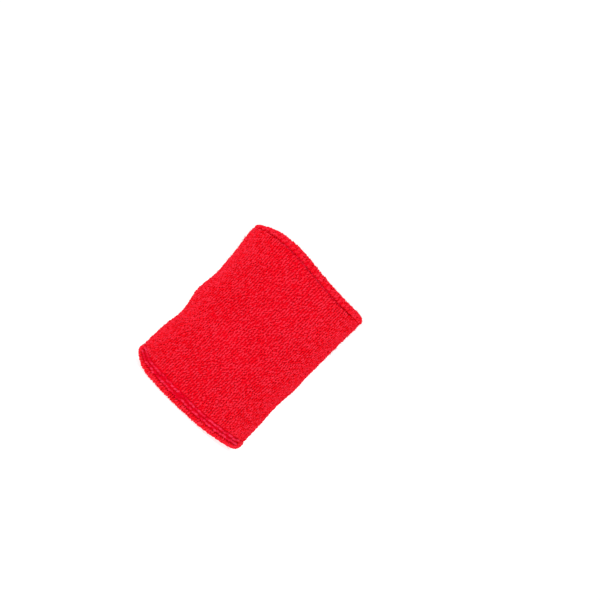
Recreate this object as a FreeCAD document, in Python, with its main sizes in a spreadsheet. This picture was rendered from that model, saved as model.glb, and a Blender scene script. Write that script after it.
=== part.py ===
import FreeCAD, Part
import math
import os

import Sketcher

# A terry wristband: one knitted tube, turned double and closed by an overlock seam on the skin side.
# Z runs along the arm, from the elbow edge at 0 to the hand edge at the top. Millimetres.
# Every layer is a ring, swept round the oval of the wrist opening.

DIMENSIONS = [
    ("band_length", 86, "along the arm, edge to edge"),
    ("opening_width", 50, "wrist opening, across the wrist"),
    ("opening_depth", 38, "wrist opening, front to back"),
    ("inner_pile", 2.3, "height of the loops on the skin side"),
    ("outer_pile", 2.3, "height of the loops on the outside, at the flank's ends"),
    ("edge_pile", 2.3, "height of the loops over each turned edge"),
    ("ground", 0.7, "thickness of the ground knit of one ply"),
    ("ply_gap", 0.7, "space between the two plies, where the elastic yarns lie"),
    ("hand_lip", 0.6, "straight part of the hand roll, below its outside corner"),
    ("hand_flare", 1.3, "how far the hand roll stands out past the flank"),
    ("elbow_lip", 1.5, "straight part of the elbow roll, above its outside corner"),
    ("elbow_flare", 0.9, "how far the elbow roll stands out past the flank"),
    ("welt", 0.8, "height of the loop-free courses beside each roll"),
    ("roll_outside", 3.4, "corner radius of a roll, outside"),
    ("roll_inside", 2.6, "corner radius of a roll, at the opening"),
    ("rest_press", 0.3, "how far the elbow roll is pressed flat where the band stands on it"),
    ("flank_rise", 0.7, "how far the flank's ends stand out"),
    ("flank_waist", 1.3, "how far the flank pulls in between its ends"),
    ("elastic_yarn", 0.5, "thickness of the covered elastic yarn"),
    ("elastic_pitch", 4, "spacing of the elastic yarns of one ply"),
    ("elastic_inset", 3, "first elastic yarn above the end of the ply gap"),
    ("seam_height", 14, "closing seam above the elbow edge"),
    ("allowance", 4.2, "height of the seam's turned raw edges"),
    ("thread", 0.2, "thickness of the sewing threads"),
    ("needle_row", 0.6, "height of the needle thread's row"),
    ("needle_inset", 0.3, "needle thread's row above the seam"),
    ("layer_clearance", 0.1, "between neighbouring layers"),
]

doc = FreeCAD.newDocument("Wristband")
sheet = doc.addObject("Spreadsheet::Sheet", "Sizes")
for row, (alias, value, note) in enumerate(DIMENSIONS, start=1):
    sheet.set(f"A{row}", alias)
    sheet.set(f"B{row}", str(value))
    sheet.set(f"C{row}", note)
    sheet.setAlias(f"B{row}", alias)
doc.recompute()


def size(alias):
    """The sheet's cell, as it is written in an expression."""
    return f"Sizes.{alias}"


def value_of(expression):
    """The number that an expression gives now."""
    return float(sheet.evalExpression(expression))


# Layers across the wall, outwards from the opening
SKIN = f"({size('opening_width')} / 2)"
GAP = size("layer_clearance")
KNIT = size("ground")
THREAD = size("thread")
INNER_KNIT_IN = f"({SKIN} + {size('inner_pile')})"
INNER_KNIT_OUT = f"({INNER_KNIT_IN} + {KNIT})"
OUTER_KNIT_IN = f"({INNER_KNIT_OUT} + {size('ply_gap')})"
OUTER_KNIT_OUT = f"({OUTER_KNIT_IN} + {KNIT})"
FACE = f"({OUTER_KNIT_OUT} + {size('outer_pile')})"
PLY_MIDDLE = f"({INNER_KNIT_OUT} + {size('ply_gap')} / 2)"
FOLD_OUTSIDE = f"({KNIT} + {size('ply_gap')} / 2)"
FOLD_INSIDE = f"({size('ply_gap')} / 2)"

# The seam's stack, inwards from the inner ply: looper thread, two turned edges, looper thread
LOWER_LOOPER_OUT = f"({INNER_KNIT_IN} - {GAP})"
LOWER_LOOPER_IN = f"({LOWER_LOOPER_OUT} - {THREAD})"
UPPER_TURN_OUT = f"({LOWER_LOOPER_IN} - {GAP})"
UPPER_TURN_IN = f"({UPPER_TURN_OUT} - {KNIT})"
LOWER_TURN_OUT = f"({UPPER_TURN_IN} - {GAP})"
LOWER_TURN_IN = f"({LOWER_TURN_OUT} - {KNIT})"
UPPER_LOOPER_OUT = f"({LOWER_TURN_IN} - {GAP})"
UPPER_LOOPER_IN = f"({UPPER_LOOPER_OUT} - {THREAD})"

# Heights along the arm
TOP = size("band_length")
KNIT_BOTTOM = size("edge_pile")
KNIT_TOP = f"({TOP} - {size('edge_pile')})"
FOLD_LOW = f"({KNIT_BOTTOM} + {FOLD_OUTSIDE})"
FOLD_HIGH = f"({KNIT_TOP} - {FOLD_OUTSIDE})"
ELBOW_ROLL_TOP = f"({size('roll_outside')} - {size('rest_press')} + {size('elbow_lip')})"
HAND_ROLL_BOTTOM = f"({TOP} - {size('roll_outside')} - {size('hand_lip')})"
FLANK_BOTTOM = f"({ELBOW_ROLL_TOP} + {size('welt')})"
FLANK_TOP = f"({HAND_ROLL_BOTTOM} - {size('welt')})"
SEAM = size("seam_height")
UPPER_TURN_BOTTOM = f"({SEAM} + {GAP})"
UPPER_TURN_TOP = f"({UPPER_TURN_BOTTOM} + {KNIT})"
RAW_EDGE = f"({SEAM} + {size('allowance')})"
STACK_TOP = f"({RAW_EDGE} + {GAP} + {THREAD})"
NEEDLE_BOTTOM = f"({SEAM} + {size('needle_inset')})"
NEEDLE_TOP = f"({NEEDLE_BOTTOM} + {size('needle_row')})"


def origin_plane(body, role):
    """The body's own origin plane or axis with this role."""
    return next(f for f in body.Origin.OriginFeatures if f.Role == role)


def attached_sketch(body, name, role):
    """An empty sketch on one of the body's own planes."""
    sketch = body.newObject("Sketcher::SketchObject", name)
    sketch.AttachmentSupport = [(origin_plane(body, role), "")]
    sketch.MapMode = "FlatFace"
    return sketch


def drive(sketch, constraint, name, expression):
    """Adds a constraint whose value follows an expression."""
    index = sketch.addConstraint(constraint)
    sketch.renameConstraint(index, name)
    sketch.setExpression(f"Constraints.{name}", expression)


def wrist_oval(body):
    """The oval that every layer is swept round: the edge of the wrist opening."""
    sketch = attached_sketch(body, body.Name + "_oval", "XY_Plane")
    width, depth = size("opening_width"), size("opening_depth")
    centre = FreeCAD.Vector(0, 0, 0)
    oval = sketch.addGeometry(Part.Ellipse(centre, value_of(width) / 2, value_of(depth) / 2))
    sketch.exposeInternalGeometry(oval)
    long_axis, short_axis = oval + 1, oval + 2
    sketch.addConstraint(Sketcher.Constraint("Coincident", oval, 3, -1, 1))
    sketch.addConstraint(Sketcher.Constraint("Horizontal", long_axis))
    drive(sketch, Sketcher.Constraint("Distance", long_axis, value_of(width)), "width", width)
    drive(sketch, Sketcher.Constraint("Distance", short_axis, value_of(depth)), "depth", depth)
    return sketch


def arc_between(start, end, radius, turn):
    """A circular edge from start to end; turn is 1 when it bends left on the way, -1 when right."""
    chord = end - start
    left = FreeCAD.Vector(-chord.y, chord.x, 0).normalize()
    centre = (start + end) / 2 + left * turn * math.sqrt(radius**2 - chord.Length**2 / 4)
    angles = [math.atan2(p.y - centre.y, p.x - centre.x) for p in (start, end)[::turn]]
    return Part.ArcOfCircle(Part.Circle(centre, FreeCAD.Vector(0, 0, 1), radius), *angles)


def closed_outline(sketch, corners):
    """Edges through the corners (across, up). A corner with a radius and a turn ends an arc."""
    places = [FreeCAD.Vector(value_of(c[0]), value_of(c[1]), 0) for c in corners]
    ends = []
    for i, corner in enumerate(corners):
        start, end = places[i - 1], places[i]
        if len(corner) == 2:
            edge = sketch.addGeometry(Part.LineSegment(start, end))
            ends.append((edge, 1, 2))
            continue
        radius, turn = corner[2:]
        edge = sketch.addGeometry(arc_between(start, end, value_of(radius), turn))
        ends.append((edge, 1, 2) if turn > 0 else (edge, 2, 1))
    for i, (edge, first, last) in enumerate(ends):
        following, start, _ = ends[(i + 1) % len(ends)]
        sketch.addConstraint(Sketcher.Constraint("Coincident", edge, last, following, start))
        for kind, way, expression in zip(("DistanceX", "DistanceY"), "xy", corners[i][:2]):
            place = Sketcher.Constraint(kind, -1, 1, edge, last, value_of(expression))
            drive(sketch, place, f"corner_{i}_{way}", expression)
    for i, corner in enumerate(corners):
        if len(corner) > 2:
            bend = Sketcher.Constraint("Radius", ends[i][0], value_of(corner[2]))
            drive(sketch, bend, f"bend_{i}", corner[2])


def ring_body(label):
    """A body with its oval and an empty profile that stands at the oval's side."""
    body = doc.addObject("PartDesign::Body", label)
    body.Label = label
    body.Placement = FreeCAD.Placement()
    return body, wrist_oval(body), attached_sketch(body, label + "_profile", "XZ_Plane")


def sweep_round(body, oval, profile):
    """The profile carried round the oval, upright all the way."""
    pipe = body.newObject("PartDesign::AdditivePipe", body.Name + "_ring")
    pipe.Profile = profile
    pipe.Spine = (oval, ["Edge1"])
    pipe.Mode = "Frenet"
    return pipe


def layer(label, corners):
    """One ring-shaped layer of the wall."""
    body, oval, profile = ring_body(label)
    closed_outline(profile, corners)
    sweep_round(body, oval, profile)
    return body


def band(label, inside, outside, low, high):
    """A layer with a plain rectangular section."""
    layer(label, [(inside, low), (outside, low), (outside, high), (inside, high)])


def edge_roll(label, leg_end, rim, knit_end, fold_start, flare, up):
    """The loops over a turned edge: a J over the ply fold, rounded at both rims. up is 1 at the hand."""
    outer_face = f"({FACE} + {flare})"
    turn_up = "-" if up > 0 else "+"
    rim_low = f"{rim} {turn_up} {size('roll_inside')}"
    rim_high = f"{rim} {turn_up} {size('roll_outside')}"
    cover = f"{knit_end} {'+' if up > 0 else '-'} {GAP}"
    fold_radius = f"{FOLD_OUTSIDE} + {GAP}"
    inner_leg = f"{INNER_KNIT_IN} - {GAP}"
    outer_leg = f"{OUTER_KNIT_OUT} + {GAP}"
    return layer(label, [
        (SKIN, leg_end),
        (SKIN, rim_low),
        (f"{SKIN} + {size('roll_inside')}", rim, size("roll_inside"), -up),
        (f"{outer_face} - {size('roll_outside')}", rim),
        (outer_face, rim_high, size("roll_outside"), -up),
        (outer_face, leg_end),
        (outer_leg, leg_end),
        (outer_leg, fold_start),
        (PLY_MIDDLE, cover, fold_radius, up),
        (inner_leg, fold_start, fold_radius, up),
        (inner_leg, leg_end),
    ])


def ground_fabric():
    """The ground knit: one sheet from raw edge to raw edge, turned over at both ends of the band."""
    layer("ground_fabric", [
        (LOWER_TURN_IN, RAW_EDGE),
        (LOWER_TURN_IN, f"{SEAM} - {KNIT}"),
        (INNER_KNIT_IN, f"{SEAM} - {KNIT}"),
        (INNER_KNIT_IN, FOLD_LOW),
        (PLY_MIDDLE, KNIT_BOTTOM, FOLD_OUTSIDE, 1),
        (OUTER_KNIT_OUT, FOLD_LOW, FOLD_OUTSIDE, 1),
        (OUTER_KNIT_OUT, FOLD_HIGH),
        (PLY_MIDDLE, KNIT_TOP, FOLD_OUTSIDE, 1),
        (INNER_KNIT_IN, FOLD_HIGH, FOLD_OUTSIDE, 1),
        (INNER_KNIT_IN, UPPER_TURN_TOP),
        (UPPER_TURN_OUT, UPPER_TURN_TOP),
        (UPPER_TURN_OUT, RAW_EDGE),
        (UPPER_TURN_IN, RAW_EDGE),
        (UPPER_TURN_IN, UPPER_TURN_BOTTOM),
        (INNER_KNIT_OUT, UPPER_TURN_BOTTOM),
        (INNER_KNIT_OUT, FOLD_HIGH),
        (PLY_MIDDLE, f"{KNIT_TOP} - {KNIT}", FOLD_INSIDE, -1),
        (OUTER_KNIT_IN, FOLD_HIGH, FOLD_INSIDE, -1),
        (OUTER_KNIT_IN, FOLD_LOW),
        (PLY_MIDDLE, f"{KNIT_BOTTOM} + {KNIT}", FOLD_INSIDE, -1),
        (INNER_KNIT_OUT, FOLD_LOW, FOLD_INSIDE, -1),
        (INNER_KNIT_OUT, SEAM),
        (LOWER_TURN_OUT, SEAM),
        (LOWER_TURN_OUT, RAW_EDGE),
    ])


def outer_pile():
    """The loops on the outside of the band, between the welts, slightly waisted."""
    ends = f"({FACE} + {size('flank_rise')})"
    height = f"({FLANK_TOP} - {FLANK_BOTTOM})"
    waist = size("flank_waist")
    bend = f"({height} * {height} / 4 + {waist} * {waist}) / (2 * {waist})"
    foot = f"{OUTER_KNIT_OUT} + {GAP}"
    layer("outer_pile", [
        (foot, FLANK_BOTTOM),
        (foot, FLANK_TOP),
        (ends, FLANK_TOP),
        (ends, FLANK_BOTTOM, bend, 1),
    ])


def inner_pile():
    """The loops on the skin side, above and below the closing seam."""
    foot = f"{INNER_KNIT_IN} - {GAP}"
    band("inner_pile_upper", SKIN, foot, f"{STACK_TOP} + {GAP}", FLANK_TOP)
    band("inner_pile_lower", SKIN, foot, FLANK_BOTTOM, f"{SEAM} - {KNIT} - {GAP}")


def elastic_yarns(label, shift):
    """The elastic yarns of one ply: equal rings up the gap between the plies, pressed flat by them."""
    body, oval, profile = ring_body(label)
    half = f"{size('elastic_yarn')} / 2"
    low = f"({FOLD_LOW} + {size('elastic_inset')} + {shift})"
    high = f"({low} + {size('elastic_yarn')})"
    inside, outside = f"({PLY_MIDDLE} - {half})", f"({PLY_MIDDLE} + {half})"
    closed_outline(profile, [(inside, low), (outside, low), (outside, high), (inside, high)])
    ring = sweep_round(body, oval, profile)
    body.AllowCompound = True
    doc.recompute()
    span = f"({FOLD_HIGH} - {FOLD_LOW} - 2 * {size('elastic_inset')})"
    pattern = body.newObject("PartDesign::LinearPattern", label + "_rows")
    pattern.Originals = [ring]
    pattern.Direction = (origin_plane(body, "Z_Axis"), [""])
    pattern.Mode = "Spacing"
    pattern.setExpression("Offset", size("elastic_pitch"))
    pattern.setExpression("Occurrences", f"floor({span} / {size('elastic_pitch')})")
    body.Tip = pattern


def seam_threads():
    """The overlock seam: its needle thread, and a looper thread on each side of the turned edges."""
    band("seam_needle_thread", UPPER_LOOPER_IN, UPPER_LOOPER_OUT, NEEDLE_BOTTOM, NEEDLE_TOP)
    band("seam_lower_looper_thread", LOWER_LOOPER_IN, LOWER_LOOPER_OUT,
         f"{UPPER_TURN_TOP} + {GAP}", f"{RAW_EDGE}")
    layer("seam_upper_looper_thread", [
        (UPPER_LOOPER_IN, f"{NEEDLE_TOP} + {GAP}"),
        (UPPER_LOOPER_OUT, f"{NEEDLE_TOP} + {GAP}"),
        (UPPER_LOOPER_OUT, f"{RAW_EDGE} + {GAP}"),
        (LOWER_LOOPER_OUT, f"{RAW_EDGE} + {GAP}"),
        (LOWER_LOOPER_OUT, STACK_TOP),
        (UPPER_LOOPER_IN, STACK_TOP),
    ])


def write_parts():
    """Checks every object, then writes one file for each body."""
    doc.recompute()
    for item in doc.Objects:
        if {"Invalid", "Error"} & set(item.State):
            raise RuntimeError(f"{item.Label} failed: {item.State}")
    bodies = [item for item in doc.Objects if item.TypeId == "PartDesign::Body"]
    for body in bodies:
        if body.Shape.isNull() or not body.Shape.isValid() or not body.Shape.Solids:
            raise RuntimeError(f"{body.Label} has no sound solid")
    os.makedirs("parts", exist_ok=True)
    for body in bodies:
        body.Shape.exportStep(f"parts/{body.Label}.step")
        print(body.Label, len(body.Shape.Solids), "solids", round(body.Shape.Volume), "mm3")


def elbow_roll():
    """The elbow roll, with a true flat round its rim that the band stands on."""
    body = edge_roll("elbow_edge_pile", ELBOW_ROLL_TOP, f"(0 - {size('rest_press')})", KNIT_BOTTOM,
                     FOLD_LOW, size("elbow_flare"), -1)
    doc.recompute()
    swept = body.Shape.Volume
    trim = attached_sketch(body, "rest_trim", "XY_Plane")
    reach = f"({FACE} + {size('elbow_flare')} + {size('roll_outside')})"
    edge = trim.addGeometry(Part.Circle(FreeCAD.Vector(), FreeCAD.Vector(0, 0, 1), value_of(reach)))
    trim.addConstraint(Sketcher.Constraint("Coincident", edge, 3, -1, 1))
    drive(trim, Sketcher.Constraint("Radius", edge, value_of(reach)), "reach", reach)
    flat = body.newObject("PartDesign::Pocket", "rest_flat")
    flat.Profile = trim
    flat.setExpression("Length", size("roll_outside"))
    doc.recompute()
    if not body.Shape.Volume < swept:
        raise RuntimeError("the rest flat cut nothing")


ground_fabric()
outer_pile()
edge_roll("hand_edge_pile", HAND_ROLL_BOTTOM, TOP, KNIT_TOP, FOLD_HIGH, size("hand_flare"), 1)
elbow_roll()
inner_pile()
elastic_yarns("outer_elastic_yarns", "0")
elastic_yarns("inner_elastic_yarns", f"{size('elastic_pitch')} / 2")
seam_threads()
write_parts()
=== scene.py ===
import bmesh
import bpy
import math
import random
from mathutils import Euler, Matrix, Vector


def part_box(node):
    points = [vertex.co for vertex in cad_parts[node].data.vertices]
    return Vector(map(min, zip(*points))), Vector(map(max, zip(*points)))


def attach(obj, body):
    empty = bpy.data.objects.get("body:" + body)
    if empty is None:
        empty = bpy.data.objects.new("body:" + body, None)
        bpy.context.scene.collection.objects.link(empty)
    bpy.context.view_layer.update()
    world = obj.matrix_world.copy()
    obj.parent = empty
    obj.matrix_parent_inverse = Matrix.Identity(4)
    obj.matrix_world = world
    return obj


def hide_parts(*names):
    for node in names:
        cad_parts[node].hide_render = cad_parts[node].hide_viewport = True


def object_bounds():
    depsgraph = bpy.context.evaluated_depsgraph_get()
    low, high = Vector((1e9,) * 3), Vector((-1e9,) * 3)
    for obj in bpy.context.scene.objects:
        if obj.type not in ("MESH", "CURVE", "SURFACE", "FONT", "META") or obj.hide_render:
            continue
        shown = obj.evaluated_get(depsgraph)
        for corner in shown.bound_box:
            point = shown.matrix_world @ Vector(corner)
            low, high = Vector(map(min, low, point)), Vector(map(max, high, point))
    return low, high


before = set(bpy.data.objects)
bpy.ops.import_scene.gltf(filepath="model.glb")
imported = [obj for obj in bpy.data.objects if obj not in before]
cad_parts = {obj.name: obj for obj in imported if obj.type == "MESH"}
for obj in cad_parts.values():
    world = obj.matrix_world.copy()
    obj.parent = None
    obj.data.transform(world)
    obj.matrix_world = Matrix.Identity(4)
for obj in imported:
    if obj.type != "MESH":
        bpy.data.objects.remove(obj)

cadBox = [list(corner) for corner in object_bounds()]
mm = 0.001

# The band stands on its elbow edge, with Z along the arm. Sizes are in millimetres until a piece is made.
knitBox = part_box("ground_fabric")
band = {
    "length": (cadBox[1][2] - cadBox[0][2]) / mm,
    "pile": 2.3,           # height of a loop above the knit
    "knit": 0.7,           # thickness of one ply of ground knit
    "plyGap": 0.7,         # between the plies
    "seamHeight": 14.0,    # closing seam above the elbow edge
    "allowance": 4.2,      # height of its turned raw edges
    "recess": 0.5,         # clear of pile above them
    "seamClear": 1.2,      # and below the seam
}
innerLeg = band["pile"]                                            # skin face of the inner ply
outerLeg = innerLeg + 2 * band["knit"] + band["plyGap"]            # outer face of the outer ply
plyMiddle = (innerLeg + outerLeg) / 2
openingHalf = [(knitBox[1][i] - knitBox[0][i]) / mm / 2 - outerLeg for i in (0, 1)]

# how the worn band is pulled out of its plain tube
shape = {
    "fullness": 0.3,
    "left": [(0.45, 0, 9), (-1.25, 29, 7), (0.6, 43, 5),     # each hill's height, middle and width
             (-0.5, 55, 7), (1.8, 80.5, 9.5), (-0.5, 90, 5)],
    "right": [(0.25, 0, 10), (-0.4, 25, 8), (0.6, 40, 6), (0.9, 86, 22)],
    "corner": [(-1.4, 88, 3.5)],
    "handLift": 0.7,
    "handEdge": [(2.6, -0.33, 0.46), (-1.8, -1.0, 0.2)],     # across the band, -1 on the left, 1 on the right
    "elbowEdge": [(2.6, -1.02, 0.22), (1.5, 1.0, 0.6)],
    "ripple": 0.13,
    "ripples": [(1.0, 2, 47), (0.7, 5, -31)],    # share, waves round the band, millimetres for one along it
    "fade": 1.2,           # depth of the wall over which the pull dies out towards the inner ply
}

# a turned edge, where the fabric rolls from the outer ply to the inner one
roll = {
    "centre": 3.5,         # its middle, outwards from the opening
    "height": 3.7,         # and in from the edge
    "knitRadius": 1.35,    # of the turned knit's face
}
handRoll, elbowRoll = band["length"] - roll["height"], roll["height"]


# the oval and the surface that the fabric follows

def ovalTable(samples=2880, reach=5.0):
    # angles at equal steps round the oval, a little outside the opening
    a, b = openingHalf[0] + reach, openingHalf[1] + reach
    lengths = [0.0]
    for i in range(samples):
        middle = 2 * math.pi * (i + 0.5) / samples
        lengths.append(lengths[-1] + math.hypot(a * math.sin(middle), b * math.cos(middle)))
    table, i = [], 0
    for step in range(samples + 1):
        want = lengths[-1] * step / samples
        while i < samples - 1 and lengths[i + 1] < want:
            i += 1
        share = (want - lengths[i]) / (lengths[i + 1] - lengths[i])
        table.append(2 * math.pi * (i + share) / samples)
    return table


ovalAngles = ovalTable()


def ovalAt(turn):
    # point on the opening's oval and the way out from it, at this share of the way round
    place = (turn % 1.0) * (len(ovalAngles) - 1)
    low = min(int(place), len(ovalAngles) - 2)
    angle = ovalAngles[low] + (ovalAngles[low + 1] - ovalAngles[low]) * (place - low)
    a, b = openingHalf
    point = Vector((a * math.cos(angle), b * math.sin(angle), 0))
    out = Vector((b * math.cos(angle), a * math.sin(angle), 0)).normalized()
    return point, out


def bumps(place, hills):
    return sum(height * math.exp(-((place - middle) / width) ** 2) for height, middle, width in hills)


def swell(out, turn, z):
    # how far the outer ply stands out or pulls in
    left = (1 - out.x) / 2
    flank = shape["fullness"] + left * bumps(z, shape["left"]) + (1 - left) * bumps(z, shape["right"])
    flank += out.x * out.x * bumps(z, shape["corner"])
    ripple = sum(share * math.sin(2 * math.pi * (waves * turn + z / along))
                 for share, waves, along in shape["ripples"])
    return flank + shape["ripple"] * ripple


def rimShift(out, z):
    # the edges bow: the hand edge stands higher at the front and back, the elbow edge rises at the sides
    share = z / band["length"]
    hand = shape["handLift"] + bumps(out.x, shape["handEdge"])
    return hand * share + bumps(out.x, shape["elbowEdge"]) * (1 - share)


def fabricPoint(turn, offset, z):
    # offset is measured outwards from the opening
    point, out = ovalAt(turn)
    outerShare = min(1.0, max(0.0, (offset - plyMiddle + shape["fade"] / 2) / shape["fade"]))
    place = point + out * (offset + swell(out, turn, z) * outerShare)
    place.z = z + rimShift(out, z)
    return place * mm


def fabricAxes(turn, heading):
    # round the band, along the fabric and off its face, where the section heads this way
    out = ovalAt(turn)[1]
    up = Vector((0, 0, 1))
    along = out * math.cos(heading) + up * math.sin(heading)
    off = out * math.sin(heading) - up * math.cos(heading)
    return up.cross(out), along, off


# meshes and pieces

def finishedMesh(bm, name):
    mesh = bpy.data.meshes.new(name)
    bm.to_mesh(mesh)
    bm.free()
    mesh.polygons.foreach_set("use_smooth", [True] * len(mesh.polygons))
    return mesh


def spinRound(bm, steps):
    bmesh.ops.spin(bm, geom=list(bm.verts) + list(bm.edges), axis=(0, 0, 1), cent=(0, 0, 0),
                   angle=2 * math.pi, steps=steps, use_merge=True)


def addPiece(mesh, name, material):
    piece = bpy.data.objects.new(name, mesh)
    bpy.context.scene.collection.objects.link(piece)
    mesh.materials.clear()
    mesh.materials.append(material)
    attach(piece, "root")
    return piece


def yarnLoop(name, size):
    # a loop of yarn on its feet at the origin's level: two legs joined by an arch
    bm = bmesh.new()
    half = size["width"] / 2
    ring = bmesh.ops.create_circle(bm, segments=size["sides"], radius=size["yarn"] / 2)["verts"]
    bmesh.ops.translate(bm, verts=ring, vec=(half, 0, -size["rooted"]))
    rise = size["height"] - half - size["yarn"] / 2

    def carry(edges, vec):
        made = bmesh.ops.extrude_edge_only(bm, edges=edges)["geom"]
        verts = [e for e in made if isinstance(e, bmesh.types.BMVert)]
        bmesh.ops.translate(bm, verts=verts, vec=vec)
        return [e for e in made if isinstance(e, bmesh.types.BMEdge) and all(v in verts for v in e.verts)]

    top = carry(list(bm.edges), (0, 0, rise + size["rooted"]))
    spun = bmesh.ops.spin(bm, geom=top, axis=(0, -1, 0), cent=(0, 0, rise), angle=math.pi,
                          steps=size["steps"])["geom_last"]
    last = [e for e in spun if isinstance(e, bmesh.types.BMEdge)]
    carry(last, (0, 0, -rise - size["rooted"]))
    bmesh.ops.holes_fill(bm, edges=[e for e in bm.edges if e.is_boundary], sides=size["sides"])
    bmesh.ops.recalc_face_normals(bm, faces=bm.faces)
    layYarnMap(bm, half, rise, size["rooted"])
    bmesh.ops.scale(bm, verts=bm.verts, vec=(mm, mm, mm))
    return finishedMesh(bm, name)


def layYarnMap(bm, half, rise, rooted):
    # yarn map: across is the share of the way round the yarn, up is along it in millimetres from the middle
    layer = bm.loops.layers.uv.new("yarn")
    quarter = math.pi * half / 2
    for face in bm.faces:
        cap = len(face.verts) > 4
        centre = face.calc_center_median()
        base = None
        for corner in face.loops:
            x, y, z = corner.vert.co
            if cap:
                # the feet's ends lie past the ends of the legs
                side = 1 if centre.x > 0 else -1
                corner[layer].uv = ((x - centre.x) * 0.5, -side * (quarter + rise + rooted + 0.5 + y))
                continue
            if z > rise:
                run = half * math.atan2(x, z - rise)
                ringAngle = math.atan2(y, math.hypot(x, z - rise) - half)
            else:
                run = math.copysign(quarter + rise - z, x)
                ringAngle = math.atan2(y, abs(x) - half)
            if base is None:
                base = ringAngle
            while ringAngle - base > math.pi:
                ringAngle -= 2 * math.pi
            while base - ringAngle > math.pi:
                ringAngle += 2 * math.pi
            corner[layer].uv = (ringAngle / (2 * math.pi), -run)


def standingGroup():
    # geometry nodes that stand a shape on every point, turned and sized by the points' own attributes
    group = bpy.data.node_groups.new("shapeOnPoints", "GeometryNodeTree")
    group.interface.new_socket("Points", in_out="INPUT", socket_type="NodeSocketGeometry")
    shapeInput = group.interface.new_socket("Shape", in_out="INPUT", socket_type="NodeSocketObject")
    group.interface.new_socket("Geometry", in_out="OUTPUT", socket_type="NodeSocketGeometry")
    node, link = group.nodes.new, group.links.new
    entry, leave = node("NodeGroupInput"), node("NodeGroupOutput")
    source, stand = node("GeometryNodeObjectInfo"), node("GeometryNodeInstanceOnPoints")
    real, asTurn = node("GeometryNodeRealizeInstances"), node("FunctionNodeEulerToRotation")
    turnBy, sizeBy = node("GeometryNodeInputNamedAttribute"), node("GeometryNodeInputNamedAttribute")
    for attribute, name in ((turnBy, "turnBy"), (sizeBy, "sizeBy")):
        attribute.data_type = "FLOAT_VECTOR"
        attribute.inputs["Name"].default_value = name
    link(entry.outputs["Points"], stand.inputs["Points"])
    link(entry.outputs["Shape"], source.inputs["Object"])
    link(source.outputs["Geometry"], stand.inputs["Instance"])
    link(turnBy.outputs["Attribute"], asTurn.inputs["Euler"])
    link(asTurn.outputs["Rotation"], stand.inputs["Rotation"])
    link(sizeBy.outputs["Attribute"], stand.inputs["Scale"])
    link(stand.outputs["Instances"], real.inputs["Geometry"])
    link(real.outputs["Geometry"], leave.inputs["Geometry"])
    return group, shapeInput.identifier


standing, shapeSocket = standingGroup()


def layBakeMap(mesh, count):
    # gives every copy a cell of its own in a square map
    yarn = mesh.uv_layers["yarn"].uv
    corners = len(yarn)
    places = [0.0] * (2 * corners)
    yarn.foreach_get("vector", places)
    each = corners // count
    low = [min(places[i:2 * each:2]) for i in (0, 1)]
    high = [max(places[i:2 * each:2]) for i in (0, 1)]
    grid = math.ceil(math.sqrt(count))
    margin = 0.06          # of a cell, left clear all round
    scale = [(1 - 2 * margin) / (high[i] - low[i]) / grid for i in (0, 1)]
    for copy in range(count):
        start = 2 * each * copy
        corner = (copy % grid + margin, copy // grid + margin)
        for i in (0, 1):
            shift = corner[i] / grid - low[i] * scale[i]
            cell = slice(start + i, start + 2 * each, 2)
            places[cell] = [p * scale[i] + shift for p in places[cell]]
    mesh.uv_layers.new(name="OFBake", do_init=False).uv.foreach_set("vector", places)


def standShapes(name, shapeMesh, places, material):
    # one mesh of copies of a shape; each place is a location, an Euler turn, a size and a tone
    bm = bmesh.new()
    turnBy = bm.verts.layers.float_vector.new("turnBy")
    sizeBy = bm.verts.layers.float_vector.new("sizeBy")
    tone = bm.verts.layers.float.new("tone")
    for location, turned, size, shade in places:
        root = bm.verts.new(location)
        root[turnBy], root[sizeBy], root[tone] = Vector(turned), Vector(size), shade
    roots = bpy.data.objects.new(name + "Roots", finishedMesh(bm, name + "Roots"))
    shapeObject = bpy.data.objects.new(name + "Shape", shapeMesh)
    for helper in (roots, shapeObject):
        bpy.context.scene.collection.objects.link(helper)
    stand = roots.modifiers.new("stand", "NODES")
    stand.node_group = standing
    stand[shapeSocket] = shapeObject
    view = bpy.context.evaluated_depsgraph_get()
    mesh = bpy.data.meshes.new_from_object(roots.evaluated_get(view))
    mesh.name = name
    for helper in (roots, shapeObject):
        bpy.data.objects.remove(helper)
    for spare in ("turnBy", "sizeBy"):
        if spare in mesh.attributes:
            mesh.attributes.remove(mesh.attributes[spare])
    layBakeMap(mesh, len(places))
    print(name, len(places), "shapes", sum(len(p.vertices) - 2 for p in mesh.polygons), "triangles")
    return addPiece(mesh, name, material)


# dyed cotton, with painted shade at the loops' feet and in the plies' creases

dyeAndShade = {
    "archLight": 0.66,           # painted shade and highlight: how much paler the lit arch of a loop is painted than its shaded foot
    "paleTo": 1.6,         # where the painted highlight on the arch ends, in lengths of the arch from its middle
    "soften": 0.3,
    "creaseShade": -0.5,        # painted shade: how much a crease between two plies is darkened
    "patch": 0.4,
    "middle": -0.7,        # brings the mean of tone and patch to nothing
    "grain": 1.2,
    "details": {"Fibre": 3.0, "Patch": 2.0},
    "noiseRough": 0.6,
}


def nodeGroup(name, inputs, outputs):
    group = bpy.data.node_groups.new(name, "ShaderNodeTree")
    for label, kind in inputs:
        group.interface.new_socket(label, in_out="INPUT", socket_type="NodeSocket" + kind)
    for label, kind in outputs:
        group.interface.new_socket(label, in_out="OUTPUT", socket_type="NodeSocket" + kind)
    return group, group.nodes.new("NodeGroupInput").outputs, group.nodes.new("NodeGroupOutput").inputs


def mathNode(tree, operation, *values):
    # a Math node whose inputs are sockets or plain numbers
    node = tree.nodes.new("ShaderNodeMath")
    node.operation = operation
    for i, value in enumerate(values):
        if isinstance(value, (int, float)):
            node.inputs[i].default_value = value
        else:
            tree.links.new(value, node.inputs[i])
    return node.outputs[0]


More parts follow.
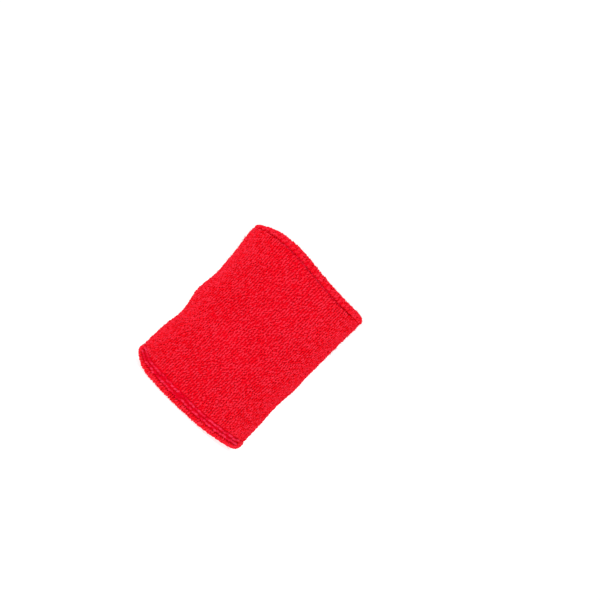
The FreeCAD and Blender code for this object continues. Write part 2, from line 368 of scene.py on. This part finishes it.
def twistGroup():
    # twisted plies of a yarn: height of the plies and a mask that is 1 at the loop's arch and 0 at its feet,
    # for painted light on the arch and painted shade at the feet
    group, entry, leave = nodeGroup(
        "yarnTwist",
        [("Yarn Map", "Vector"), ("Plies", "Float"), ("Pitch", "Float"), ("Arch", "Float")],
        [("Height", "Float"), ("Tip", "Float")])
    split = group.nodes.new("ShaderNodeSeparateXYZ")
    group.links.new(entry["Yarn Map"], split.inputs[0])
    along = mathNode(group, "DIVIDE", split.outputs[1], entry["Pitch"])
    turns = mathNode(group, "ADD", split.outputs[0], along)
    angle = mathNode(group, "MULTIPLY", mathNode(group, "MULTIPLY", turns, entry["Plies"]), math.pi)
    group.links.new(mathNode(group, "ABSOLUTE", mathNode(group, "SINE", angle)), leave["Height"])
    # mask for painted light on the arch and painted shade at the feet
    away = mathNode(group, "DIVIDE", mathNode(group, "ABSOLUTE", split.outputs[1]), entry["Arch"])
    archLight = mathNode(group, "SMOOTH_MIN", mathNode(group, "SUBTRACT", dyeAndShade["paleTo"], away), 1.0, dyeAndShade["soften"])
    group.links.new(archLight, leave["Tip"])
    return group


def fibreGroup():
    # fine fibres and slow patches of tone over the whole cloth
    group, entry, leave = nodeGroup(
        "cottonFibre",
        [("Fibre Scale", "Float"), ("Patch Scale", "Float")],
        [("Fibre", "Float"), ("Patch", "Float")])
    place = group.nodes.new("ShaderNodeTexCoord")
    for label, detail in dyeAndShade["details"].items():
        noise = group.nodes.new("ShaderNodeTexNoise")
        noise.inputs["Detail"].default_value = detail
        noise.inputs["Roughness"].default_value = dyeAndShade["noiseRough"]
        group.links.new(place.outputs["Object"], noise.inputs["Vector"])
        group.links.new(entry[label + " Scale"], noise.inputs["Scale"])
        group.links.new(noise.outputs[0], leave[label])
    return group


def dyeAndShadeGroup():
    # one colour between its deepest and its palest: painted shade at a loop's feet and in the plies' creases,
    # painted light on its arch, and dyed tone that differs by chance
    group, entry, leave = nodeGroup(
        "dyedAndShadedCotton",
        [("Deep", "Color"), ("Pale", "Color"), ("Tip", "Float"), ("Crease", "Float"), ("Tone", "Float"),
         ("Patch", "Float"), ("Fibre", "Float"), ("Spread", "Float")],
        [("Color", "Color")])
    patch = mathNode(group, "MULTIPLY_ADD", entry["Patch"], dyeAndShade["patch"], dyeAndShade["middle"])
    chance = mathNode(group, "ADD", entry["Tone"], patch)
    grain = mathNode(group, "MULTIPLY", mathNode(group, "SUBTRACT", entry["Fibre"], 0.5), dyeAndShade["grain"])
    change = mathNode(group, "MULTIPLY", mathNode(group, "ADD", chance, grain), entry["Spread"])
    mix = group.nodes.new("ShaderNodeMix")
    mix.data_type = "RGBA"
    # painted shade in the plies' creases and at the loops' feet, painted light on the arches
    creaseShade = mathNode(group, "MULTIPLY", entry["Crease"], dyeAndShade["creaseShade"])
    paintedLightShare = mathNode(group, "MULTIPLY_ADD", entry["Tip"], dyeAndShade["archLight"], creaseShade)
    share = mathNode(group, "ADD", paintedLightShare, change)
    group.links.new(share, mix.inputs[0])
    group.links.new(entry["Deep"], mix.inputs[6])
    group.links.new(entry["Pale"], mix.inputs[7])
    group.links.new(mix.outputs[2], leave["Color"])
    return group


groups = {"twist": twistGroup(), "fibre": fibreGroup(), "dyeAndShade": dyeAndShadeGroup()}


def cottonMaterial(name, look):
    # dyed cotton yarn: twisted plies and fibres in its bump, tone by loop and by patch, painted shade at the
    # foot fading to painted light at the arch, and painted shade in the plies' creases
    material = bpy.data.materials.new(name)
    material.use_nodes = True
    tree = material.node_tree
    shader = tree.nodes["Principled BSDF"]

    def placed(group, **values):
        node = tree.nodes.new("ShaderNodeGroup")
        node.node_tree = groups[group]
        for label, value in values.items():
            socket = node.inputs[label.replace("_", " ")]
            if hasattr(value, "is_output"):
                tree.links.new(value, socket)
            else:
                socket.default_value = value
        return node.outputs

    yarnMap = tree.nodes.new("ShaderNodeUVMap")
    yarnMap.uv_map = look.get("map", "yarn")
    tone = tree.nodes.new("ShaderNodeAttribute")
    tone.attribute_name = "tone"
    twist = placed("twist", Yarn_Map=yarnMap.outputs[0], Plies=look["plies"], Pitch=look["pitch"],
                   Arch=look["arch"])
    fibre = placed("fibre", Fibre_Scale=look["fibreScale"], Patch_Scale=look["patchScale"])
    # painted shade in the creases between plies, where the ply height is low
    creaseShade = mathNode(tree, "SUBTRACT", 1.0, twist["Height"])
    dyedAndShaded = placed("dyeAndShade", Deep=(*look["deep"], 1), Pale=(*look["pale"], 1), Tip=twist["Tip"], Crease=creaseShade,
                  Tone=tone.outputs["Fac"], Patch=fibre["Patch"], Fibre=fibre["Fibre"], Spread=look["spread"])
    tree.links.new(dyedAndShaded["Color"], shader.inputs["Base Color"])
    bump = tree.nodes.new("ShaderNodeBump")
    bump.inputs["Distance"].default_value = look["relief"] * mm
    bump.inputs["Strength"].default_value = look["strength"]
    relief = mathNode(tree, "ADD", mathNode(tree, "MULTIPLY", twist["Height"], look["plyRelief"]),
                      mathNode(tree, "MULTIPLY", fibre["Fibre"], look["fibreRelief"]))
    tree.links.new(relief, bump.inputs["Height"])
    tree.links.new(bump.outputs[0], shader.inputs["Normal"])
    uneven = mathNode(tree, "MULTIPLY", fibre["Fibre"], look["roughSpread"])
    rough = mathNode(tree, "ADD", uneven, look["rough"])
    tree.links.new(rough, shader.inputs["Roughness"])
    shader.inputs["Specular IOR Level"].default_value = look["specular"]
    shader.inputs["Sheen Weight"].default_value = look["sheen"]
    shader.inputs["Sheen Roughness"].default_value = look["sheenRough"]
    shader.inputs["Sheen Tint"].default_value = (*look["sheenTint"], 1)
    return material


pileLook = {               # colours at the foot and the top of a loop: the foot's is painted shade, the top's a paler, pinker painted highlight, and chance tone moves between them
    "deep": (0.88, 0.0, 0.008),
    "pale": (0.96, 0.030, 0.065),
    "spread": 0.9,
    "plies": 2,
    "pitch": 1.6,          # millimetres of yarn for a whole turn
    "arch": 0.9,           # length of yarn each side of the middle that shows at the top and is painted lit
    "fibreScale": 4200,
    "patchScale": 55,
    "relief": 0.1,         # of the whole bump, millimetres
    "strength": 0.9,
    "plyRelief": 0.7,
    "fibreRelief": 0.5,
    "rough": 0.82,
    "roughSpread": 0.12,
    "specular": 0.03,
    "sheen": 0.04,
    "sheenRough": 0.45,
    "sheenTint": (1.0, 0.42, 0.45),
}
weltLook = dict(pileLook, deep=(0.76, 0.0, 0.02), pale=(0.92, 0.034, 0.095), spread=1.2)
knitLook = dict(pileLook, deep=(0.8, 0.0, 0.014), pale=(0.92, 0.01, 0.03), map="cloth", pitch=1.4, arch=400)
threadLook = dict(pileLook, deep=(0.7, 0.004, 0.016), pale=(0.95, 0.02, 0.045), plies=3, pitch=1.0,
                  rough=0.55)
pileRed, weltRed = cottonMaterial("pileRed", pileLook), cottonMaterial("weltRed", weltLook)
knitRed, threadRed = cottonMaterial("knitRed", knitLook), cottonMaterial("threadRed", threadLook)


# the pile: loops of yarn standing on the knit

pileLoop = {
    "width": 0.68,         # between the middles of the two legs
    "height": 2.3,
    "yarn": 0.72,
    "rooted": 0.3,         # how far the feet go into the knit
    "sides": 5,
    "steps": 4,
}
pile = {
    "wales": 140,          # columns of loops round the outside
    "innerWales": 106,     # and round the inside, where the stretch is less
    "course": 0.9,         # spacing of the loops along a column
    "slant": 76,           # of the arch, from round the band towards along it, degrees
    "slantSpread": 12,
    "lean": 6,             # spread of the tilt, degrees
    "nap": -9,             # the pile lies over a little, away from the way it was knitted
    "grow": 0.045,         # spread of the height, as a share of it
    "lowest": 0.85,
    "highest": 1.12,
    "widths": (0.92, 1.1),
    "jitter": 0.045,       # of a loop's place round the band, as a share of the spacing there
    "rollJitter": 0.06,    # the same on a turned edge
    "rowJitter": 0.06,     # of its place along the fabric, millimetres
    "rollWales": 132,      # columns round a turned edge
    "elbowStart": 6.55,    # where the outside's loops begin, in from the elbow edge
    "margin": 0.6,         # clear along the inside, beside a turned edge and above the seam
    "handGroove": 1.1,     # clear width at the foot of the groove below the hand edge
    "sideRise": 0.9,       # how much the groove closes at the sides
    "sideFrom": 0.45,      # share of the way out sideways at which it begins to close
    "sideOver": 0.4,       # and over which it closes
    "rollSlant": 50,       # of the arches on a turned edge
    "bunch": 0.2,          # how far loops beside a groove pair up, as a share of their spacing
    "bunched": 3,          # rows that do
    "handRows": list(range(14, 184, 13)),      # on the turned edges, angles up from straight out, degrees
    "elbowRows": list(range(195, 326, 13)),
    "weltSides": list(range(338, 391, 13)),    # rows only at the sides, where the stout rows end
}
weltLoop = dict(pileLoop, width=0.88, height=2.2, yarn=0.98, sides=6, steps=5)
weltChain = {
    "width": 0.34,
    "height": 1.1,
    "yarn": 0.46,
    "rooted": 0.0,
    "sides": 6,
    "steps": 4,
}
welts = {
    "elbowRows": [3.55, 5.4],    # heights of the rows of stout, low loops
    "loops": 104,          # in one row
    "slant": 10,           # of their arches, from round the band
    "jitter": 0.05,        # of a loop along its row, as a share of the spacing
    "wander": 0.08,        # and across it, millimetres
    "turnSpread": 0.05,    # of a chained link, radians
    "linkSizes": (0.96, 1.06),
    "reach": 0.93,         # how far round to the sides the rows run, as a share of the way out sideways
    "handRow": (4.95, -4.05),    # links in the groove: outwards from the opening, and from the hand edge
    "handLinks": 168,
    "tuck": 21,            # how steeply a link dives under the last, degrees
}


def loopPlace(turn, offset, z, heading, rng, slant):
    c, w, n = fabricAxes(turn, heading)
    basis = Matrix((c, w, n)).transposed()
    lean = math.radians(pile["lean"])
    arch = Matrix.Rotation(math.radians(rng.gauss(slant, pile["slantSpread"])), 3, "Z")
    tilt = Euler((rng.gauss(math.radians(pile["nap"]), lean), rng.gauss(0, lean), 0)).to_matrix() @ arch
    turned = (basis @ tilt).to_euler()
    grow = max(pile["lowest"], min(pile["highest"], rng.gauss(1, pile["grow"])))
    return fabricPoint(turn, offset, z), turned, (rng.uniform(*pile["widths"]), 1.0, grow), rng.random()


def courseHeights(low, high, step):
    count = max(1, round((high - low) / step))
    return [low + (high - low) * (i + 0.5) / count for i in range(count)]


def flankPile(name, loop, offset, low, high, heading, wales, turns, seed, sideRise=0.0):
    # loops in straight columns along the arm, over one share of the way round
    rng = random.Random(seed)
    places = []
    first, last = round(wales * turns[0]), round(wales * turns[1])
    for z in courseHeights(low, high, pile["course"]):
        for wale in range(first, last):
            turn = (wale + 0.5 + rng.gauss(0, pile["jitter"])) / wales
            side = min(1.0, max(0.0, (abs(ovalAt(turn)[1].x) - pile["sideFrom"]) / pile["sideOver"]))
            height = z + sideRise * side * (z - low) / (high - low) + rng.gauss(0, pile["rowJitter"])
            places.append(loopPlace(turn, offset, height, heading, rng, pile["slant"]))
    return standShapes(name, loop, places, pileRed)


def rollPile(name, rows, height, seed, sideRows=(), bunched=()):
    # loops fanned out round a turned edge
    rng = random.Random(seed)
    wales = pile["rollWales"]
    places = []
    for row in rows + list(sideRows):
        angle = math.radians(row)
        offset = roll["centre"] + roll["knitRadius"] * math.cos(angle)
        z = height + roll["knitRadius"] * math.sin(angle)
        for wale in range(wales):
            pairing = pile["bunch"] * (1 if wale % 2 else -1) if row in bunched else 0
            turn = (wale + 0.5 - pairing + rng.gauss(0, pile["rollJitter"])) / wales
            if row in sideRows and abs(ovalAt(turn)[1].x) < welts["reach"]:
                continue
            places.append(loopPlace(turn, offset, z, angle + math.pi / 2, rng, pile["rollSlant"]))
    return standShapes(name, loopMesh, places, pileRed)


loopMesh = yarnLoop("pileLoop", pileLoop)
skinLoopMesh = yarnLoop("skinLoop", dict(pileLoop, steps=3))
upwards, downwards = math.radians(90), math.radians(270)
outerReach = (pile["elbowStart"], handRoll - pile["handGroove"])
seamFoot = band["seamHeight"] - band["seamClear"]
recessTop = band["seamHeight"] + band["allowance"] + band["recess"]
pilePieces = []
for i, side in enumerate(("Right", "Back", "Left", "Front")):
    turns = (i / 4 - 0.125, i / 4 + 0.125)
    outer = flankPile("outerPile" + side, loopMesh, outerLeg, *outerReach, upwards,
                      pile["wales"], turns, 11 + i, pile["sideRise"])
    inner = flankPile("innerPile" + side, skinLoopMesh, innerLeg, recessTop + pile["margin"],
                      handRoll - pile["margin"], downwards, pile["innerWales"], turns, 21 + i)
    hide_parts("outer_pile")
    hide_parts("inner_pile_upper")
    pilePieces += [outer, inner]
innerLow = flankPile("innerPileLow", skinLoopMesh, innerLeg, elbowRoll + pile["margin"], seamFoot,
                     downwards, pile["innerWales"], (0, 1), 31)
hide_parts("inner_pile_lower")
bunched = pile["handRows"][:pile["bunched"]]
handPile = rollPile("handRollPile", pile["handRows"], handRoll, 41, bunched=bunched)
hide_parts("hand_edge_pile")
elbowPile = rollPile("elbowRollPile", pile["elbowRows"], elbowRoll, 42, sideRows=pile["weltSides"])
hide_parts("elbow_edge_pile")
pilePieces += [innerLow, handPile, elbowPile]
print("pile done")


# rows of stout and of chained yarn along the edges

def chainPlace(turn, offset, z, rng):
    # a link lies along the edge with its arch over the next one
    out = ovalAt(turn)[1]
    up = Vector((0, 0, 1))
    basis = Matrix((up, out.copy(), up.cross(out))).transposed()
    tilt = Euler((math.radians(welts["tuck"]), 0, rng.gauss(0, welts["turnSpread"])))
    turned = (basis @ tilt.to_matrix()).to_euler()
    return fabricPoint(turn, offset, z), turned, (1, 1, rng.uniform(*welts["linkSizes"])), rng.random()


def chainRow(offset, z, links, rng):
    return [chainPlace((i + 0.5) / links, offset, z, rng) for i in range(links)]


def stoutRows(rng):
    places = []
    for z in welts["elbowRows"]:
        for i in range(welts["loops"]):
            turn = (i + 0.5 + rng.gauss(0, welts["jitter"])) / welts["loops"]
            if abs(ovalAt(turn)[1].x) <= welts["reach"]:
                height = z + rng.gauss(0, welts["wander"])
                places.append(loopPlace(turn, outerLeg, height, upwards, rng, welts["slant"]))
    return places


rng = random.Random(51)
elbowWelt = standShapes("elbowWelt", yarnLoop("stoutLoop", weltLoop), stoutRows(rng), weltRed)
offset, below = welts["handRow"]
handLinks = chainRow(offset, band["length"] + below, welts["handLinks"], rng)
handWelt = standShapes("handWelt", yarnLoop("chainLink", weltChain), handLinks, weltRed)
pilePieces += [elbowWelt, handWelt]
print("welts done")


# the closing seam: overlock stitches round the turned raw edges

overlock = {
    "stitches": 74,
    "needleLine": 0.6,     # above the seam
    "thread": 0.26,
    "wrap": 1.85,          # across both raw edges
    "lean": 20,            # of the loopers, either way, degrees
    "leanSpread": 2,
    "jitter": 0.04,        # of a stitch, as a share of the spacing
    "middle": 1.15,        # of the allowance, outwards from the opening
    "overEdge": 0.2,       # how far a stitch reaches past the raw edges
    "needleInset": 0.1,    # the needle's line on the wrapped side, in from the stitches' ends
    "needleDepth": 0.8,    # and the other line, into the knit from its face
}


def overlockRow(lean, shift, rng):
    places = []
    for i in range(overlock["stitches"]):
        turn = (i + shift + rng.gauss(0, overlock["jitter"])) / overlock["stitches"]
        out, up = ovalAt(turn)[1], Vector((0, 0, 1))
        basis = Matrix((out, up.cross(out), up)).transposed()
        leaned = Matrix.Rotation(math.radians(lean + rng.gauss(0, overlock["leanSpread"])), 3, "X")
        turned = (basis @ leaned).to_euler()
        foot = fabricPoint(turn, overlock["middle"], needleHeight)
        places.append((foot, turned, (1, 1, 1), rng.random()))
    return places


wrapLoop = {
    "width": overlock["wrap"],
    "height": band["allowance"] - overlock["needleLine"] + overlock["overEdge"],
    "yarn": overlock["thread"],
    "rooted": 0,
    "sides": 5,
    "steps": 6,
}
loopers = [
    ("seamUpperLooper", "seam_upper_looper_thread", overlock["lean"], 0.25),
    ("seamLowerLooper", "seam_lower_looper_thread", -overlock["lean"], 0.75),
]
needleHeight = band["seamHeight"] + overlock["needleLine"]
rng = random.Random(61)
for name, node, lean, shift in loopers:
    wraps = overlockRow(lean, shift, rng)
    threads = standShapes(name, yarnLoop(name + "Loop", wrapLoop), wraps, threadRed)
    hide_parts(node)
needleLink = dict(wrapLoop, width=0.42, height=2.3, steps=4)
needleLines = (overlock["middle"] - overlock["wrap"] / 2 + overlock["needleInset"],
               innerLeg + overlock["needleDepth"])
needleLinks = [link for line in needleLines
               for link in chainRow(line, needleHeight, overlock["stitches"], rng)]
needle = standShapes("seamNeedleStitches", yarnLoop("needleLink", needleLink), needleLinks, threadRed)
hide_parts("seam_needle_thread")
print("seam done")


# elastic yarns, laid in between the plies

elastic = {
    "core": (0.85, 0.62, 0.55),
    "cover": (0.72, 0.01, 0.03),
    "wraps": 900,          # scale of the cover's windings
    "uneven": 1.5,
    "relief": 0.04,
    "rough": 0.6,
}


def elasticMaterial():
    # white rubber core under a wrapped red cover
    material = bpy.data.materials.new("coveredElastic")
    material.use_nodes = True
    tree = material.node_tree
    shader = tree.nodes["Principled BSDF"]
    place = tree.nodes.new("ShaderNodeTexCoord")
    wrap = tree.nodes.new("ShaderNodeTexWave")
    wrap.bands_direction = "DIAGONAL"
    wrap.inputs["Scale"].default_value = elastic["wraps"]
    wrap.inputs["Distortion"].default_value = elastic["uneven"]
    tree.links.new(place.outputs["Object"], wrap.inputs["Vector"])
    mix = tree.nodes.new("ShaderNodeMix")
    mix.data_type = "RGBA"
    mix.inputs[6].default_value = (*elastic["core"], 1)
    mix.inputs[7].default_value = (*elastic["cover"], 1)
    tree.links.new(wrap.outputs["Fac"], mix.inputs[0])
    tree.links.new(mix.outputs[2], shader.inputs["Base Color"])
    bump = tree.nodes.new("ShaderNodeBump")
    bump.inputs["Distance"].default_value = elastic["relief"] * mm
    tree.links.new(wrap.outputs["Fac"], bump.inputs["Height"])
    tree.links.new(bump.outputs[0], shader.inputs["Normal"])
    shader.inputs["Roughness"].default_value = elastic["rough"]
    return material


covered = elasticMaterial()
for name in ("outer_elastic_yarns", "inner_elastic_yarns"):
    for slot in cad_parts[name].material_slots:
        slot.material = covered


# stray fibres that stand out of the pile

stray = {
    "count": 3400,
    "shape": {"width": 0.75, "height": 0.85, "yarn": 0.045, "rooted": 0.1, "sides": 3, "steps": 4},
    "depth": 0.25,         # of their feet below the top of the pile
    "past": 0.06,          # share of the band's length by which they run on over each turned edge
    "handArc": (5, 175),   # angles that they take there, up from straight out
    "elbowArc": (185, 355),
    "tilt": 0.5,           # spread, radians
    "sizes": (0.6, 1.25),
}


def strayPlaces(rng):
    places = []
    for i in range(stray["count"]):
        turn = rng.random()
        share = rng.uniform(-stray["past"], 1 + stray["past"])
        z = elbowRoll + share * (handRoll - elbowRoll)
        heading = upwards
        offset = outerLeg + band["pile"] - stray["depth"]
        radius = roll["knitRadius"] + band["pile"] - stray["depth"]
        if share > 1 or share < 0:
            angle = math.radians(rng.uniform(*stray["handArc" if share > 1 else "elbowArc"]))
            offset = roll["centre"] + radius * math.cos(angle)
            z = (handRoll if share > 1 else elbowRoll) + radius * math.sin(angle)
            heading = angle + math.pi / 2
        c, w, n = fabricAxes(turn, heading)
        basis = Matrix((c, w, n)).transposed()
        tilt = Euler((rng.gauss(0, stray["tilt"]), rng.gauss(0, stray["tilt"]), rng.uniform(0, math.pi)))
        turned = (basis @ tilt.to_matrix()).to_euler()
        size = rng.uniform(*stray["sizes"])
        places.append((fabricPoint(turn, offset, z), turned, (size, 1, size), rng.random()))
    return places


fuzz = standShapes("strayFibres", yarnLoop("fibre", stray["shape"]), strayPlaces(random.Random(71)), pileRed)
pilePieces.append(fuzz)


# the ground knit and the crowded feet of the pile

cloth = {
    "around": 160,
    "step": 1.6,           # spacing of its points along the fabric
    "bedRise": 1.2,        # how high the pile's feet are crowded
    "grooveDent": 0.8,     # how much lower they are in the groove along the hand edge
    "rowDent": 0.3,        # and between the stout rows at the elbow edge
    "rows": (-0.7, 2.3, 3.1),      # where that dent begins, ends and is gone, up from the edge's roll
    "groove": (1.5, 0.7, 0.1),     # where the groove begins, is deep and ends, down from the hand edge's
    "rawDepth": 0.4,       # of the raw edges below the allowance's top
    "turnIn": (1.55, 0.75),        # the two raw edges, inwards from the inner ply's face
}


def spunCloth(name, line, thickness):
    # a line across the fabric, spun round the band and laid on its shape
    bm = bmesh.new()
    verts = [bm.verts.new((r, 0, z)) for r, z in line]
    runs = {}
    for a, b in zip(verts, verts[1:]):
        cuts = int((a.co - b.co).length / cloth["step"])
        runs.setdefault(cuts, []).append(bm.edges.new((a, b)))
    for cuts in [c for c in runs if c]:
        bmesh.ops.subdivide_edges(bm, edges=runs[cuts], cuts=cuts)
    spinRound(bm, cloth["around"])
    bmesh.ops.recalc_face_normals(bm, faces=bm.faces)
    layer = bm.loops.layers.uv.new("cloth")
    for face in bm.faces:
        for corner in face.loops:
            turn = math.atan2(corner.vert.co.y, corner.vert.co.x) / (2 * math.pi)
            corner[layer].uv = (turn * pile["wales"], corner.vert.co.z)
    for vert in bm.verts:
        turn = math.atan2(vert.co.y, vert.co.x) / (2 * math.pi)
        vert.co = fabricPoint(turn, math.hypot(vert.co.x, vert.co.y), vert.co.z)
    piece = addPiece(finishedMesh(bm, name), name, knitRed)
    thick = piece.modifiers.new("ply", "SOLIDIFY")
    thick.thickness, thick.offset = thickness * mm, 0
    return piece


def rollArc(radius, middle, angles):
    return [(roll["centre"] + radius * math.cos(math.radians(a)), middle + radius * math.sin(math.radians(a)))
            for a in angles]


def knitLine():
    # middle of the knit, from the lower raw edge round both turned edges to the upper raw edge
    half = band["knit"] / 2
    seam, raw = band["seamHeight"], band["seamHeight"] + band["allowance"] - cloth["rawDepth"]
    lowerTurn, upperTurn = [innerLeg - step for step in cloth["turnIn"]]
    radius = roll["knitRadius"] - half
    line = [(lowerTurn, raw), (lowerTurn, seam - half), (innerLeg + half, seam - half - 0.05)]
    line += [(innerLeg + half, elbowRoll + 3)] + rollArc(radius, elbowRoll, range(180, 361, 30))
    line += [(outerLeg - half, elbowRoll + 2), (outerLeg - half, handRoll - 2)]
    line += rollArc(radius, handRoll, range(0, 181, 30)) + [(innerLeg + half, handRoll - 3)]
    line += [(innerLeg + half, seam + half + 0.1), (upperTurn, seam + half + 0.1), (upperTurn, raw)]
    return line


def bedLine():
    # middle of the crowded feet, on the pile side of the knit, from below the seam to above it
    half = cloth["bedRise"] / 2
    radius = roll["knitRadius"] + half
    line = [(innerLeg - half, seamFoot), (innerLeg - half, elbowRoll + 2)]
    line += rollArc(radius, elbowRoll, range(190, 311, 20))
    face = outerLeg + half
    row, groove = face - cloth["rowDent"], face - cloth["grooveDent"]
    line += [(r, elbowRoll + up) for r, up in zip((row, row, face), cloth["rows"])]
    line += [(r, handRoll - down) for r, down in zip((face, groove, groove), cloth["groove"])]
    line += rollArc(radius, handRoll, range(25, 171, 20))
    line += [(innerLeg - half, handRoll - 2), (innerLeg - half, recessTop)]
    return line


ground = spunCloth("groundKnit", knitLine(), band["knit"])
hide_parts("ground_fabric")
bed = spunCloth("pileFeet", bedLine(), cloth["bedRise"])
pilePieces.append(bed)
print("ground knit", len(ground.data.polygons))


# floor, light and camera

studio = {
    "distance": 0.6,       # camera to the band's axis, metres
    "frame": 0.2765,       # width of the view there
    "sensor": 36,
    "lean": 44.25,         # the camera's roll: the hand end points up and right
    "aimAlong": 0.0293,    # the camera stands this far from the band's middle, towards the hand
    "aimAside": 0.005,     # and to the right of its axis
    "world": 0.82,         # light from all round
    "backdrop": 1.05,      # what the camera sees behind the band
    "keyPower": 5.4,
    "keyPlace": (-0.15, -1.0, 0.8),
    "keySize": 0.8,
    "floorSize": 3,
    "floorTone": 0.4,
    "floorGlow": 0.85,
}


def addFloor():
    white = bpy.data.materials.new("floorWhite")
    white.use_nodes = True
    shader = white.node_tree.nodes["Principled BSDF"]
    shader.inputs["Base Color"].default_value = (*[studio["floorTone"]] * 3, 1)
    shader.inputs["Roughness"].default_value = 0.9
    shader.inputs["Emission Color"].default_value = (1, 1, 1, 1)
    shader.inputs["Emission Strength"].default_value = studio["floorGlow"]
    bm = bmesh.new()
    bmesh.ops.create_grid(bm, x_segments=1, y_segments=1, size=studio["floorSize"])
    floor = bpy.data.objects.new("floor", finishedMesh(bm, "floor"))
    floor.data.materials.append(white)
    bpy.context.scene.collection.objects.link(floor)


def addKeyLight(target):
    lamp = bpy.data.lights.new("keyLight", "AREA")
    lamp.size, lamp.energy = studio["keySize"], studio["keyPower"]
    light = bpy.data.objects.new("keyLight", lamp)
    light.location = studio["keyPlace"]
    light.rotation_euler = (target - light.location).to_track_quat("-Z", "Y").to_euler()
    bpy.context.scene.collection.objects.link(light)


def addWorld():
    # the backdrop stays white, whatever light the world gives
    world = bpy.data.worlds.new("studio")
    world.use_nodes = True
    tree = world.node_tree
    backdrop = tree.nodes["Background"]
    backdrop.inputs["Color"].default_value = (1, 1, 1, 1)
    seen = tree.nodes.new("ShaderNodeLightPath").outputs["Is Camera Ray"]
    extra = studio["backdrop"] - studio["world"]
    tree.links.new(mathNode(tree, "MULTIPLY_ADD", seen, extra, studio["world"]), backdrop.inputs["Strength"])
    bpy.context.scene.world = world


def addCamera():
    lean = math.radians(studio["lean"])
    right = Vector((math.cos(lean), 0, math.sin(lean)))
    up = Vector((-math.sin(lean), 0, math.cos(lean)))
    back = Vector((0, -1, 0))
    lens = bpy.data.cameras.new("camera")
    lens.sensor_width = studio["sensor"]
    lens.lens = studio["sensor"] * studio["distance"] / studio["frame"]
    lens.clip_start, lens.clip_end = 0.01, 20
    camera = bpy.data.objects.new("camera", lens)
    stand = Vector((studio["aimAside"], 0, band["length"] / 2 * mm + studio["aimAlong"]))
    turn = Matrix((right, up, back)).transposed().to_4x4()
    camera.matrix_world = Matrix.Translation(stand + back * studio["distance"]) @ turn
    bpy.context.scene.collection.objects.link(camera)
    bpy.context.scene.camera = camera


addFloor()
addKeyLight(Vector((0, 0, band["length"] / 2 * mm)))
addWorld()
bpy.context.scene.view_settings.view_transform = "Standard"
addCamera()
print("stage done")
